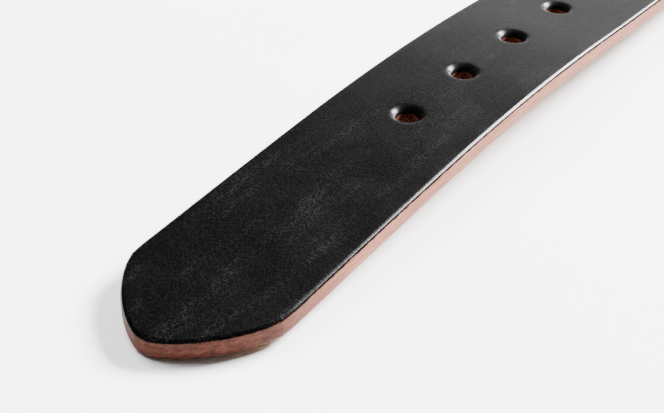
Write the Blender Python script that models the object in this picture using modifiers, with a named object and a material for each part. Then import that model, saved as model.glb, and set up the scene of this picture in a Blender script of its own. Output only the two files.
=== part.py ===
"""A single-ply leather belt, lying open on a table.

The strap is cut flat, with its pointed tip, belt holes, prong slot and screw holes, and is then
bent along its route: the tip end lies grain side up, a quarter turn stands the strap on its edge
for the wide bend, and a second quarter turn lays the buckle end flat again. The strap folds round
the buckle bar and is closed by two rows of two-part screws, with a keeper loop between the rows.

Units are metres, +Z is up and the table is at Z = 0. "Grain" is the smooth black outer face.
"""

import math

import bmesh
import bpy
from mathutils import Matrix, Vector

MM = 0.001
TOUCH_GAP = 0.3 * MM

# Strap
STRAP_WIDTH = 38.1 * MM
STRAP_THICKNESS = 4.8 * MM
SKIVED_THICKNESS = 3.0 * MM
TIP_LENGTH = 20.6 * MM
TIP_ARC_RADIUS = 40.0 * MM
HOLE_RADIUS = 2.5 * MM
HOLE_PITCH = 25.4 * MM
HOLE_COUNT = 5
FIRST_HOLE = 95.8 * MM
WAIST_LENGTH = 864.0 * MM  # middle hole to the fold at the bar
FOLD_BACK_LENGTH = 68.0 * MM
SLOT_LENGTH = 34.0 * MM
SLOT_WIDTH = 6.5 * MM

# Route of the strap, from the tip: (length, bend towards the flesh side in degrees)
TIP_LEG = (
    (40 * MM, -1.3),
    (40 * MM, 0.7),
    (40 * MM, 3.3),
    (40 * MM, 3.7),
    (40 * MM, -1.2),
    (40 * MM, -4.7),
    (30 * MM, -8.0),
    (30 * MM, 11.5),
)
QUARTER_TWIST_LENGTH = 125.0 * MM
WIDE_BEND_RADIUS = 70.0 * MM
WIDE_BEND_RAMP = 50.0 * MM
DROP_LENGTH = 50.0 * MM

# Buckle end, as distances back from the bar
BAR_RADIUS = 1.9 * MM
FIRST_SCREW_ROW = 22.0 * MM
SECOND_SCREW_ROW = 58.0 * MM
KEEPER_CENTRE = 40.0 * MM
SCREW_SPACING = 19.0 * MM
RETURN_ARC_RADIUS = 15.0 * MM

# Keeper loop
KEEPER_WIDTH = 14.0 * MM
KEEPER_THICKNESS = 2.4 * MM
KEEPER_SIDE_CLEARANCE = 1.1 * MM
KEEPER_SPARE_HEIGHT = 5.6 * MM  # room for the belt's tip under the loop
KEEPER_CORNER_RADIUS = 2.0 * MM
KEEPER_FLOOR_GAP = 0.6 * MM
THREAD_RADIUS = 0.3 * MM
STITCH_HALF_LENGTH = 3.0 * MM
STITCH_SPACING = 4.0 * MM

# Buckle
FRAME_INNER_WIDTH = 41.5 * MM
RAIL_WIDTH = 5.5 * MM
RAIL_THICKNESS = 4.2 * MM
FRAME_REACH = 40.0 * MM  # bar to the middle of the front rail
FRAME_CORNER_RADIUS = 9.0 * MM
EAR_RADIUS = 4.2 * MM
NOTCH_RADIUS = 4.5 * MM
NOTCH_DEPTH = 0.6 * MM
RAIL_FLOOR_GAP = 0.05 * MM
PRONG_EYE_RADIUS = 4.7 * MM
PRONG_EYE_GAP = 0.2 * MM
PRONG_WIDTH = 4.6 * MM
PRONG_THICKNESS = 3.0 * MM
PRONG_REACH = 43.4 * MM
PRONG_TIP_DROP = 0.65 * MM

# Two-part screws
HEAD_RADIUS = 4.75 * MM
HEAD_THICKNESS = 1.2 * MM
BARREL_RADIUS = 2.5 * MM
BORE_RADIUS = 1.7 * MM
BORE_DEPTH = 6.8 * MM
SHANK_RADIUS = 1.4 * MM
DRIVE_SLOT_WIDTH = 1.0 * MM
DRIVE_SLOT_DEPTH = 0.6 * MM

# Worked out from the driving dimensions
FOLD_RADIUS = BAR_RADIUS + TOUCH_GAP + SKIVED_THICKNESS
FOLD_AT = FIRST_HOLE + (HOLE_COUNT // 2) * HOLE_PITCH + WAIST_LENGTH
FOLD_START = FOLD_AT - FOLD_RADIUS * math.pi / 2
EDGE_HEIGHT = math.hypot(STRAP_WIDTH / 2, STRAP_THICKNESS)
PLY_UNDERSIDE = KEEPER_THICKNESS + KEEPER_FLOOR_GAP
GRAIN_HEIGHT = PLY_UNDERSIDE + SKIVED_THICKNESS + TOUCH_GAP + STRAP_THICKNESS
BAR_HEIGHT = GRAIN_HEIGHT - FOLD_RADIUS
SKIVE_FULL = 8.0 * MM
SKIVE_START = 20.0 * MM

PARTS = "leather_belt"
CUTTERS = "cutters"


def clear_scene():
    for item in list(bpy.data.objects):
        bpy.data.objects.remove(item, do_unlink=True)


def new_collection(name):
    collection = bpy.data.collections.new(name)
    bpy.context.scene.collection.children.link(collection)
    return collection


def new_material(name, color, roughness, metallic=0.0):
    material = bpy.data.materials.new(name)
    material.use_nodes = True
    shader = material.node_tree.nodes["Principled BSDF"]
    shader.inputs["Base Color"].default_value = (*color, 1.0)
    shader.inputs["Roughness"].default_value = roughness
    shader.inputs["Metallic"].default_value = metallic
    material.diffuse_color = (*color, 1.0)
    return material


def add_object(name, data, collection):
    obj = bpy.data.objects.new(name, data)
    bpy.data.collections[collection].objects.link(obj)
    return obj


def add_cutter(name, data):
    cutter = add_object(name, data, CUTTERS)
    cutter.hide_render = True
    cutter.display_type = "WIRE"
    return cutter


def mesh_from(bm, name):
    mesh = bpy.data.meshes.new(name)
    bm.to_mesh(mesh)
    bm.free()
    return mesh


def as_mesh(obj, name):
    """The evaluated shape of an object as a welded mesh; the object is removed."""
    bpy.context.view_layer.update()
    graph = bpy.context.evaluated_depsgraph_get()
    mesh = bpy.data.meshes.new_from_object(obj.evaluated_get(graph))
    mesh.name = name
    bm = bmesh.new()
    bm.from_mesh(mesh)
    bmesh.ops.remove_doubles(bm, verts=bm.verts, dist=0.005 * MM)
    bmesh.ops.recalc_face_normals(bm, faces=bm.faces)
    bm.to_mesh(mesh)
    bm.free()
    bpy.data.objects.remove(obj, do_unlink=True)
    return mesh


def shade(obj, angle=35.0):
    obj.data.shade_smooth()
    obj.data.set_sharp_from_angle(angle=math.radians(angle))


def cut(obj, cutter, operation="DIFFERENCE"):
    modifier = obj.modifiers.new(cutter.name, "BOOLEAN")
    modifier.operation = operation
    modifier.solver = "EXACT"
    modifier.object = cutter


def cylinder_mesh(name, radius, depth, segments, matrix=None):
    bm = bmesh.new()
    bmesh.ops.create_cone(
        bm,
        cap_ends=True,
        segments=segments,
        radius1=radius,
        radius2=radius,
        depth=depth,
        matrix=matrix or Matrix.Identity(4),
    )
    return mesh_from(bm, name)


def outline_cutter(name, points, half_height):
    """A prism on a flat outline, standing evenly about Z = 0."""
    curve = bpy.data.curves.new(name, "CURVE")
    curve.dimensions = "2D"
    curve.fill_mode = "BOTH"
    curve.extrude = half_height
    spline = curve.splines.new("POLY")
    spline.points.add(len(points) - 1)
    for point, (x, y) in zip(spline.points, points):
        point.co = (x, y, 0.0, 1.0)
    spline.use_cyclic_u = True
    outline = add_object(name + "_outline", curve, CUTTERS)
    return add_cutter(name, as_mesh(outline, name))


def arc_points(centre, radius, start, end, steps):
    """Points along an arc, with angles in radians."""
    points = []
    for step in range(steps + 1):
        angle = start + (end - start) * step / steps
        x = centre[0] + radius * math.cos(angle)
        y = centre[1] + radius * math.sin(angle)
        points.append((x, y))
    return points


# ---------------------------------------------------------------- route of the strap


def share_turned(along, ease):
    """How much of a stretch's turn is done at a share of its length, with eased ends."""
    if ease == 0.0:
        return along
    if along > 0.5:
        return 1.0 - share_turned(1.0 - along, ease)
    full_rate = 1.0 / (1.0 - ease)
    if along < ease:
        return full_rate * along * along / (2.0 * ease)
    return full_rate * (along - ease / 2.0)


def return_angle():
    """How far past half a turn the fold goes before the under ply levels out."""
    rise = PLY_UNDERSIDE - (BAR_HEIGHT - FOLD_RADIUS)
    return math.acos(1.0 - rise / (FOLD_RADIUS + RETURN_ARC_RADIUS))


def route_stretches():
    """Every stretch of the strap as (length, bend, twist, ease), with angles in radians."""
    quarter = math.pi / 2
    wide_bend = WIDE_BEND_RADIUS * math.pi + WIDE_BEND_RAMP
    drop = (EDGE_HEIGHT - GRAIN_HEIGHT) / DROP_LENGTH
    back = return_angle()
    stretches = [(length, math.radians(bend), 0.0, 0.0) for length, bend in TIP_LEG]
    stretches += [
        (QUARTER_TWIST_LENGTH, 0.0, quarter, 0.5),
        (wide_bend, math.pi, 0.0, WIDE_BEND_RAMP / wide_bend),
        (QUARTER_TWIST_LENGTH, 0.0, -quarter, 0.5),
        (DROP_LENGTH, drop, 0.0, 0.0),
        (DROP_LENGTH, -drop, 0.0, 0.0),
    ]
    straight = FOLD_START - sum(stretch[0] for stretch in stretches)
    fold = math.pi + back
    stretches += [
        (straight, 0.0, 0.0, 0.0),
        (FOLD_RADIUS * fold, fold, 0.0, 0.0),
        (RETURN_ARC_RADIUS * back, -back, 0.0, 0.0),
    ]
    under_ply = FOLD_BACK_LENGTH - (FOLD_RADIUS + RETURN_ARC_RADIUS) * math.sin(back)
    stretches.append((under_ply, 0.0, 0.0, 0.0))
    return stretches


def station_spacing(bend, twist, length):
    """Distance between stations that keeps a stretch smooth."""
    turn_rate = max(abs(bend), abs(twist)) / length
    if turn_rate > 60.0:
        return 0.9 * MM
    if turn_rate > 6.0:
        return 5.0 * MM
    return 10.0 * MM


def route():
    """Stations (distance, point, forward, left, up) along the middle of the grain face."""
    start_pitch = math.radians(sum(bend for _, bend in TIP_LEG))
    forward = Vector((math.cos(start_pitch), 0.0, math.sin(start_pitch)))
    left = Vector((0.0, 1.0, 0.0))
    point = Vector((0.0, 0.0, 0.0))
    distance = 0.0
    stations = [(distance, point.copy(), forward.copy(), left.copy(), forward.cross(left))]
    for length, bend, twist, ease in route_stretches():
        first_forward = forward.copy()
        first_left = left.copy()
        steps = math.ceil(length / station_spacing(bend, twist, length))
        substeps = 8
        for step in range(steps * substeps):
            middle = share_turned((step + 0.5) / (steps * substeps), ease)
            heading = Matrix.Rotation(bend * middle, 3, first_left) @ first_forward
            point = point + heading * (length / (steps * substeps))
            if (step + 1) % substeps:
                continue
            done = share_turned((step + 1) / (steps * substeps), ease)
            forward = Matrix.Rotation(bend * done, 3, first_left) @ first_forward
            left = Matrix.Rotation(-twist * done, 3, first_forward) @ first_left
            here = distance + length * (step + 1) / (steps * substeps)
            stations.append((here, point.copy(), forward.copy(), left.copy(), forward.cross(left)))
        distance += length
    return stations


def station_at(stations, distance):
    """The station at any distance, between its two neighbours."""
    low = 0
    high = len(stations) - 1
    while high - low > 1:
        middle = (low + high) // 2
        if stations[middle][0] <= distance:
            low = middle
        else:
            high = middle
    before = stations[low]
    after = stations[high]
    share = (distance - before[0]) / (after[0] - before[0])
    return [before[i].lerp(after[i], share) for i in range(1, 5)]


# ---------------------------------------------------------------- strap


def thickness_at(distance):
    """The strap is skived thin on its flesh side from just before the fold to its end."""
    before_bar = FOLD_START - distance
    share = (before_bar - SKIVE_FULL) / (SKIVE_START - SKIVE_FULL)
    share = min(1.0, max(0.0, share))
    return SKIVED_THICKNESS + (STRAP_THICKNESS - SKIVED_THICKNESS) * share


def flat_blank(stations):
    """The uncut strap, flat along +X with the grain face at Z = 0, divided at each station."""
    bm = bmesh.new()
    bmesh.ops.create_grid(bm, x_segments=len(stations) - 1, y_segments=1, size=1.0)
    columns = sorted({round(vert.co.x, 5) for vert in bm.verts})
    place = {column: station[0] for column, station in zip(columns, stations)}
    for vert in bm.verts:
        side = math.copysign(STRAP_WIDTH / 2, vert.co.y)
        vert.co = Vector((place[round(vert.co.x, 5)], side, 0.0))
    mesh = mesh_from(bm, "strap")
    strap = add_object("strap", mesh, PARTS)
    solid = strap.modifiers.new("thickness", "SOLIDIFY")
    solid.thickness = STRAP_THICKNESS
    solid.offset = -1.0
    return strap


def tip_waste_points():
    """Outline of the waste round the tip: two convex arcs that meet in a point."""
    half = STRAP_WIDTH / 2
    chord = math.hypot(TIP_LENGTH, half)
    rise = math.sqrt(TIP_ARC_RADIUS**2 - chord**2 / 4)
    centre_x = TIP_LENGTH / 2 + rise * half / chord
    centre_y = half / 2 - rise * TIP_LENGTH / chord
    corner = math.atan2(half - centre_y, TIP_LENGTH - centre_x)
    point = math.atan2(-centre_y, -centre_x)
    arc = arc_points((centre_x, centre_y), TIP_ARC_RADIUS, corner, point, 9)
    mirrored = [(x, -y) for x, y in reversed(arc[:-1])]
    margin = 6.0 * MM
    outside = [
        (TIP_LENGTH, -half - margin),
        (-margin, -half - margin),
        (-margin, half + margin),
        (TIP_LENGTH, half + margin),
    ]
    return arc + mirrored + outside


def slot_points():
    """Outline of the prong slot, an oblong centred on the fold."""
    radius = SLOT_WIDTH / 2
    half = SLOT_LENGTH / 2 - radius
    quarter = math.pi / 2
    far = arc_points((FOLD_AT + half, 0.0), radius, -quarter, quarter, 8)
    near = arc_points((FOLD_AT - half, 0.0), radius, quarter, 3 * quarter, 8)
    return far + near


def under_ply_distance(before_bar):
    """Distance along the strap of a point on the under ply, from how far it is behind the bar."""
    back = return_angle()
    fold_length = FOLD_RADIUS * (math.pi + back)
    curved_reach = (FOLD_RADIUS + RETURN_ARC_RADIUS) * math.sin(back)
    return FOLD_START + fold_length + RETURN_ARC_RADIUS * back + before_bar - curved_reach


def round_hole_places():
    """Every round hole in the flat strap as (distance, offset, radius)."""
    places = []
    for index in range(HOLE_COUNT):
        places.append((FIRST_HOLE + index * HOLE_PITCH, 0.0, HOLE_RADIUS))
    clearance = BARREL_RADIUS + TOUCH_GAP
    for row in (FIRST_SCREW_ROW, SECOND_SCREW_ROW):
        for offset in (-SCREW_SPACING / 2, SCREW_SPACING / 2):
            places.append((FOLD_START - row, offset, clearance))
            places.append((under_ply_distance(row), offset, clearance))
    return places


def make_strap(stations, material):
    strap = flat_blank(stations)
    cut(strap, outline_cutter("tip_waste", tip_waste_points(), 3 * STRAP_THICKNESS))
    cut(strap, outline_cutter("prong_slot", slot_points(), 3 * STRAP_THICKNESS))
    for number, (distance, offset, radius) in enumerate(round_hole_places(), 1):
        hole = cylinder_mesh(f"hole_{number}", radius, 6 * STRAP_THICKNESS, 24)
        punch = add_cutter(f"hole_{number}", hole)
        punch.location = (distance, offset, 0.0)
        cut(strap, punch)
    mesh = as_mesh(strap, "strap")
    for vert in mesh.vertices:
        point, _, left, up = station_at(stations, vert.co.x)
        depth = -vert.co.z / STRAP_THICKNESS * thickness_at(vert.co.x)
        vert.co = point + left * vert.co.y - up * depth
    mesh.materials.append(material)
    strap = add_object("strap", mesh, PARTS)
    shade(strap)
    return strap


# ---------------------------------------------------------------- keeper


def ring_points(half_width, low, high, radius, gap):
    """A rounded rectangle in Y and Z that starts and ends at the middle of its lower side."""
    quarter = math.pi / 2
    corners = (
        ((half_width - radius, low + radius), -quarter),
        ((half_width - radius, high - radius), 0.0),
        ((radius - half_width, high - radius), quarter),
        ((radius - half_width, low + radius), 2 * quarter),
    )
    points = [(gap / 2, low)]
    for centre, start in corners:
        points += arc_points(centre, radius, start, start + quarter, 5)
    points.append((-gap / 2, low))
    return points


def stitch_object(name, radius, position, collection):
    """One box stitch: a closed loop of thread through both ends of the keeper."""
    low = 0.4 * MM
    high = KEEPER_THICKNESS - 0.2 * MM
    points = ring_points(STITCH_HALF_LENGTH, low, high, 0.45 * MM, 1.0 * MM)
    curve = bpy.data.curves.new(name, "CURVE")
    curve.dimensions = "3D"
    curve.bevel_depth = radius
    curve.bevel_resolution = 2
    spline = curve.splines.new("POLY")
    spline.points.add(len(points) - 1)
    for point, (y, z) in zip(spline.points, points):
        point.co = (position, y, z, 1.0)
    spline.use_cyclic_u = True
    return add_object(name, curve, collection)


def make_keeper(stand, leather, thread):
    """The loop, with its two ends sewn edge to edge under the strap."""
    half_width = STRAP_WIDTH / 2 + KEEPER_SIDE_CLEARANCE
    low = KEEPER_THICKNESS
    high = GRAIN_HEIGHT + KEEPER_SPARE_HEIGHT
    bm = bmesh.new()
    verts = []
    for y, z in ring_points(half_width, low, high, KEEPER_CORNER_RADIUS, TOUCH_GAP):
        verts.append(bm.verts.new((-KEEPER_WIDTH / 2, y, z)))
    edges = [bm.edges.new(pair) for pair in zip(verts, verts[1:])]
    swept = bmesh.ops.extrude_edge_only(bm, edges=edges)
    far_verts = [item for item in swept["geom"] if isinstance(item, bmesh.types.BMVert)]
    bmesh.ops.translate(bm, verts=far_verts, vec=(KEEPER_WIDTH, 0.0, 0.0))
    bmesh.ops.recalc_face_normals(bm, faces=bm.faces)
    loop = add_object("keeper_loop", mesh_from(bm, "keeper_loop"), PARTS)
    solid = loop.modifiers.new("thickness", "SOLIDIFY")
    solid.thickness = KEEPER_THICKNESS
    solid.offset = -1.0 if points_inward(loop.data) else 1.0
    positions = (-STITCH_SPACING, 0.0, STITCH_SPACING)
    for number, position in enumerate(positions, 1):
        channel = stitch_object(f"channel_{number}", THREAD_RADIUS + TOUCH_GAP, position, CUTTERS)
        cut(loop, add_cutter(f"stitch_channel_{number}", as_mesh(channel, "stitch_channel")))
    loop.data.materials.append(leather)
    loop.parent = stand
    for number, position in enumerate(positions, 1):
        path = stitch_object(f"stitch_{number}", THREAD_RADIUS, position, CUTTERS)
        name = f"keeper_stitch_{number}"
        stitch = add_object(name, as_mesh(path, name), PARTS)
        stitch.data.materials.append(thread)
        shade(stitch)
        stitch.parent = stand
    for cutter in list(bpy.data.collections[CUTTERS].objects):
        if cutter.name.startswith("stitch_channel"):
            cutter.parent = stand


def points_inward(mesh):
    """Whether a ring's faces look at its own middle."""
    middle = sum((vert.co for vert in mesh.vertices), Vector()) / len(mesh.vertices)
    face = max(mesh.polygons, key=lambda polygon: polygon.center.z)
    return face.normal.dot(middle - face.center) > 0.0


# ---------------------------------------------------------------- buckle


def swept_rail(name, path, width, thickness, sections, collection, radii=None):
    """A flattened bar along a path of points, with rounded section and closed ends."""
    section = bpy.data.curves.new(name + "_section", "CURVE")
    section.dimensions = "2D"
    oval = section.splines.new("POLY")
    oval.points.add(sections - 1)
    for index, point in enumerate(oval.points):
        angle = 2.0 * math.pi * index / sections
        point.co = (width / 2 * math.cos(angle), thickness / 2 * math.sin(angle), 0.0, 1.0)
    oval.use_cyclic_u = True
    profile = add_object(name + "_section", section, collection)
    curve = bpy.data.curves.new(name, "CURVE")
    curve.dimensions = "3D"
    curve.bevel_mode = "OBJECT"
    curve.bevel_object = profile
    curve.use_fill_caps = True
    curve.twist_mode = "Z_UP"
    spline = curve.splines.new("POLY")
    spline.points.add(len(path) - 1)
    for index, (point, place) in enumerate(zip(spline.points, path)):
        point.co = (*place, 1.0)
        point.radius = radii[index] if radii else 1.0
    mesh = as_mesh(add_object(name + "_sweep", curve, collection), name)
    bpy.data.objects.remove(profile, do_unlink=True)
    return mesh


def frame_path():
    """The frame's middle line: one side rail, the front rail and the other side rail."""
    half = (FRAME_INNER_WIDTH + RAIL_WIDTH) / 2
    radius = FRAME_CORNER_RADIUS
    quarter = math.pi / 2
    corner_x = FRAME_REACH - radius
    right = arc_points((corner_x, radius - half), radius, -quarter, 0.0, 7)
    left = arc_points((corner_x, half - radius), radius, 0.0, quarter, 7)
    flat = [(0.0, -half), (corner_x / 2, -half), *right, *left, (corner_x / 2, half), (0.0, half)]
    return [(x, y, 0.0) for x, y in flat]


def y_cylinder(name, radius, length, middle_y, segments):
    matrix = Matrix.Translation((0.0, middle_y, 0.0)) @ Matrix.Rotation(math.pi / 2, 4, "X")
    return cylinder_mesh(name, radius, length, segments, matrix)


def make_frame(stand, tilt, metal):
    """The buckle frame, with an ear for the bar at the end of each side rail."""
    mesh = swept_rail("buckle_frame", frame_path(), RAIL_WIDTH, RAIL_THICKNESS, 16, CUTTERS)
    frame = add_object("buckle_frame", mesh, PARTS)
    half = (FRAME_INNER_WIDTH + RAIL_WIDTH) / 2
    for name, middle in (("ear_right", -half), ("ear_left", half)):
        ear = add_cutter(name, y_cylinder(name, EAR_RADIUS, RAIL_WIDTH, middle, 24))
        cut(frame, ear, "UNION")
        ear.parent = frame
    bore_length = 2.0 * half + 2.0 * RAIL_WIDTH
    bore = add_cutter("bar_bore", y_cylinder("bar_bore", BAR_RADIUS + TOUCH_GAP, bore_length, 0.0, 20))
    across = Matrix.Rotation(math.pi / 2, 4, "Y")
    trough = cylinder_mesh("prong_notch", NOTCH_RADIUS, 2.0 * RAIL_WIDTH, 32, across)
    notch = add_cutter("prong_notch", trough)
    notch.location = (FRAME_REACH, 0.0, RAIL_THICKNESS / 2 + NOTCH_RADIUS - NOTCH_DEPTH)
    for cutter in (bore, notch):
        cut(frame, cutter)
        cutter.parent = frame
    frame.data.materials.append(metal)
    shade(frame)
    frame.parent = stand
    frame.rotation_euler = (0.0, tilt, 0.0)
    return frame


def make_bar(stand, metal):
    length = FRAME_INNER_WIDTH + 2.0 * RAIL_WIDTH - 0.6 * MM
    bar = add_object("buckle_bar", y_cylinder("buckle_bar", BAR_RADIUS, length, 0.0, 24), PARTS)
    ends = bar.modifiers.new("ends", "BEVEL")
    ends.width = 0.3 * MM
    ends.segments = 2
    ends.limit_method = "ANGLE"
    ends.angle_limit = math.radians(60.0)
    bar.data.materials.append(metal)
    shade(bar)
    bar.parent = stand


def make_prong(stand, metal):
    """The prong, an eye round the bar and a tapered shank that rests on the front rail."""
    blunt = PRONG_THICKNESS / 2
    path = [(0.45 * PRONG_EYE_RADIUS + 0.5 * MM, 0.0, 0.0)]
    radii = [1.0]
    straight = PRONG_REACH - blunt
    for share in (0.35, 0.7, 1.0):
        path.append((straight * share, 0.0, -PRONG_TIP_DROP * share))
        radii.append(1.0 - 0.16 * share)
    for angle in (30.0, 55.0, 75.0):
        turn = math.radians(angle)
        path.append((straight + blunt * math.sin(turn), 0.0, -PRONG_TIP_DROP))
        radii.append(radii[3] * math.cos(turn))
    mesh = swept_rail("prong", path, PRONG_WIDTH, PRONG_THICKNESS, 14, CUTTERS, radii)
    prong = add_object("prong", mesh, PARTS)
    eye = add_cutter("prong_eye", y_cylinder("prong_eye", PRONG_EYE_RADIUS, PRONG_WIDTH, 0.0, 32))
    bore_radius = BAR_RADIUS + PRONG_EYE_GAP
    bore = add_cutter("eye_bore", y_cylinder("eye_bore", bore_radius, 3.0 * PRONG_WIDTH, 0.0, 32))
    cut(prong, eye, "UNION")
    cut(prong, bore)
    for cutter in (eye, bore):
        cutter.parent = stand
    prong.data.materials.append(metal)
    shade(prong)
    prong.parent = stand


# ---------------------------------------------------------------- screws


def turned(name, profile, collection=PARTS):
    """A turned piece from its profile, given top to bottom down the outer side."""
    bm = bmesh.new()
    verts = [bm.verts.new((x, 0.0, z)) for x, z in profile]
    for pair in zip(verts, verts[1:]):
        bm.edges.new(pair)
    piece = add_object(name, mesh_from(bm, name), collection)
    turn = piece.modifiers.new("turn", "SCREW")
    turn.axis = "Z"
    turn.steps = 24
    turn.render_steps = 24
    turn.use_merge_vertices = True
    turn.merge_threshold = 0.00005
    piece.modifiers.new("weld", "WELD").merge_threshold = 0.00005
    return piece


def make_screws(stand, metal):
    """Four two-part screws: a post from the grain side and a screw from the back."""
    rim = 0.5 * HEAD_THICKNESS
    head_low = GRAIN_HEIGHT + TOUCH_GAP
    barrel_end = PLY_UNDERSIDE + TOUCH_GAP
    post_profile = [
        (0.0, head_low + HEAD_THICKNESS),
        (0.7 * HEAD_RADIUS, head_low + HEAD_THICKNESS - 0.1 * MM),
        (HEAD_RADIUS - 0.3 * MM, head_low + rim + 0.25 * MM),
        (HEAD_RADIUS, head_low + rim - 0.2 * MM),
        (HEAD_RADIUS, head_low),
        (BARREL_RADIUS, head_low),
        (BARREL_RADIUS, barrel_end),
        (BORE_RADIUS, barrel_end),
        (BORE_RADIUS, barrel_end + BORE_DEPTH),
        (0.0, barrel_end + BORE_DEPTH),
    ]
    head_high = PLY_UNDERSIDE - TOUCH_GAP
    head_base = head_high - HEAD_THICKNESS
    shank_top = barrel_end + BORE_DEPTH - 2.0 * TOUCH_GAP
    screw_profile = [
        (0.0, shank_top),
        (SHANK_RADIUS - 0.3 * MM, shank_top),
        (SHANK_RADIUS, shank_top - 0.3 * MM),
        (SHANK_RADIUS, head_high),
        (HEAD_RADIUS, head_high),
        (HEAD_RADIUS, head_high - rim),
        (HEAD_RADIUS - 0.4 * MM, head_base + 0.15 * MM),
        (0.7 * HEAD_RADIUS, head_base),
        (0.0, head_base),
    ]
    number = 0
    for row in (FIRST_SCREW_ROW, SECOND_SCREW_ROW):
        for offset in (-SCREW_SPACING / 2, SCREW_SPACING / 2):
            number += 1
            post = turned(f"screw_post_{number}", post_profile)
            screw = turned(f"screw_{number}", screw_profile)
            bm = bmesh.new()
            bmesh.ops.create_cube(bm, size=1.0)
            size = Vector((3.0 * HEAD_RADIUS, DRIVE_SLOT_WIDTH, 2.0 * DRIVE_SLOT_DEPTH))
            bmesh.ops.scale(bm, vec=size, verts=bm.verts)
            slot = add_cutter(f"drive_slot_{number}", mesh_from(bm, "drive_slot"))
            slot.location = (-row, offset, head_base)
            slot.rotation_euler = (0.0, 0.0, math.radians(35.0 * number))
            slot.parent = stand
            cut(screw, slot)
            for piece in (post, screw):
                piece.location = (-row, offset, 0.0)
                piece.data.materials.append(metal)
                shade(piece)
                piece.parent = stand


# ---------------------------------------------------------------- assembly


def add_empty(name, parent, location, turn=0.0):
    empty = add_object(name, None, PARTS)
    empty.parent = parent
    empty.location = location
    empty.rotation_euler = (0.0, 0.0, turn)
    return empty


def centre_on_origin(origin):
    """Moves the whole belt so that the middle of its base is at the world origin."""
    bpy.context.view_layer.update()
    graph = bpy.context.evaluated_depsgraph_get()
    corners = []
    for item in bpy.data.collections[PARTS].objects:
        if item.type == "MESH":
            evaluated = item.evaluated_get(graph)
            corners += [evaluated.matrix_world @ vert.co for vert in evaluated.data.vertices]
    low = Vector([min(corner[axis] for corner in corners) for axis in range(3)])
    high = Vector([max(corner[axis] for corner in corners) for axis in range(3)])
    origin.location = (-(low.x + high.x) / 2, -(low.y + high.y) / 2, -low.z)


def main():
    clear_scene()
    for name in (PARTS, CUTTERS):
        new_collection(name)
    black_leather = new_material("black_leather", (0.018, 0.018, 0.02), 0.42)
    keeper_leather = new_material("keeper_leather", (0.02, 0.019, 0.02), 0.42)
    nickel = new_material("nickel_plate", (0.66, 0.65, 0.62), 0.22, 1.0)
    steel = new_material("plain_steel", (0.55, 0.55, 0.56), 0.32, 1.0)
    waxed_thread = new_material("waxed_thread", (0.035, 0.032, 0.03), 0.6)

    origin = add_empty("belt_origin", None, (0.0, 0.0, 0.0))
    stations = route()
    strap = make_strap(stations, black_leather)
    strap.parent = origin
    over_bar = station_at(stations, FOLD_START)[0]
    lift = GRAIN_HEIGHT - over_bar.z
    strap.location = (0.0, 0.0, lift)

    # The stand is on the table under the bar, and its +X points out through the buckle.
    under_bar = (over_bar.x, over_bar.y, 0.0)
    screw_stand = add_empty("screw_stand", origin, under_bar, math.pi)
    make_screws(screw_stand, nickel)
    keeper_place = (over_bar.x + KEEPER_CENTRE, over_bar.y, 0.0)
    keeper_stand = add_empty("keeper_stand", origin, keeper_place, math.pi)
    make_keeper(keeper_stand, keeper_leather, waxed_thread)
    bar_stand = add_empty("bar_axis", origin, (over_bar.x, over_bar.y, BAR_HEIGHT), math.pi)
    rail_height = RAIL_THICKNESS / 2 + RAIL_FLOOR_GAP
    tilt = math.asin((BAR_HEIGHT - rail_height) / FRAME_REACH)
    make_frame(bar_stand, tilt, nickel)
    make_bar(bar_stand, steel)
    make_prong(bar_stand, nickel)
    centre_on_origin(origin)


main()
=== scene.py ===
"""The leather belt's looks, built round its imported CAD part.

The strap is drawn flat, with its point, pressed belt holes, prong slot and rounded cut edges, and
is then bent along the CAD part's route. Units are metres, +Z is up and the table is at Z = 0.
"""

import math

import bmesh
import bpy
from mathutils import Matrix, Vector


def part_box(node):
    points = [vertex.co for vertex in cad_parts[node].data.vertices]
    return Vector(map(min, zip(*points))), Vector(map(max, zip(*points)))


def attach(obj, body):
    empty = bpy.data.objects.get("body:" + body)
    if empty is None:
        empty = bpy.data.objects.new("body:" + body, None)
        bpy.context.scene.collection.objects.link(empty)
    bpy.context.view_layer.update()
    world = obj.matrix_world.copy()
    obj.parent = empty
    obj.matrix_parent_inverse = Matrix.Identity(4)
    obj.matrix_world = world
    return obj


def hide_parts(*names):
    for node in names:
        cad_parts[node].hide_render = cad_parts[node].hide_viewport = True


MM = 0.001
QUARTER = math.pi / 2

# ---------------------------------------------------------------- the CAD part's dimensions

STRAP_WIDTH = 38.1 * MM
STRAP_THICKNESS = 4.8 * MM
SKIVED_THICKNESS = 3.0 * MM
TIP_LENGTH = 20.6 * MM
TIP_ARC_RADIUS = 40.0 * MM
HOLE_RADIUS = 2.5 * MM
HOLE_PITCH = 25.4 * MM
HOLE_COUNT = 5
FIRST_HOLE = 95.8 * MM
WAIST_LENGTH = 864.0 * MM
FOLD_BACK_LENGTH = 68.0 * MM
SLOT_LENGTH = 34.0 * MM
SLOT_WIDTH = 6.5 * MM
TIP_LEG = (
    (40 * MM, -1.3),
    (40 * MM, 0.7),
    (40 * MM, 3.3),
    (40 * MM, 3.7),
    (40 * MM, -1.2),
    (40 * MM, -4.7),
    (30 * MM, -8.0),
    (30 * MM, 11.5),
)
QUARTER_TWIST_LENGTH = 125.0 * MM
WIDE_BEND_RADIUS = 70.0 * MM
WIDE_BEND_RAMP = 50.0 * MM
DROP_LENGTH = 50.0 * MM
TOUCH_GAP = 0.3 * MM
BAR_RADIUS = 1.9 * MM
RETURN_ARC_RADIUS = 15.0 * MM
KEEPER_WIDTH = 14.0 * MM
KEEPER_THICKNESS = 2.4 * MM
KEEPER_FLOOR_GAP = 0.6 * MM
KEEPER_SIDE_CLEARANCE = 1.1 * MM
KEEPER_SPARE_HEIGHT = 5.6 * MM
KEEPER_CORNER_RADIUS = 2.0 * MM
STITCH_HALF_LENGTH = 3.0 * MM
STITCH_SPACING = 4.0 * MM
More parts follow.
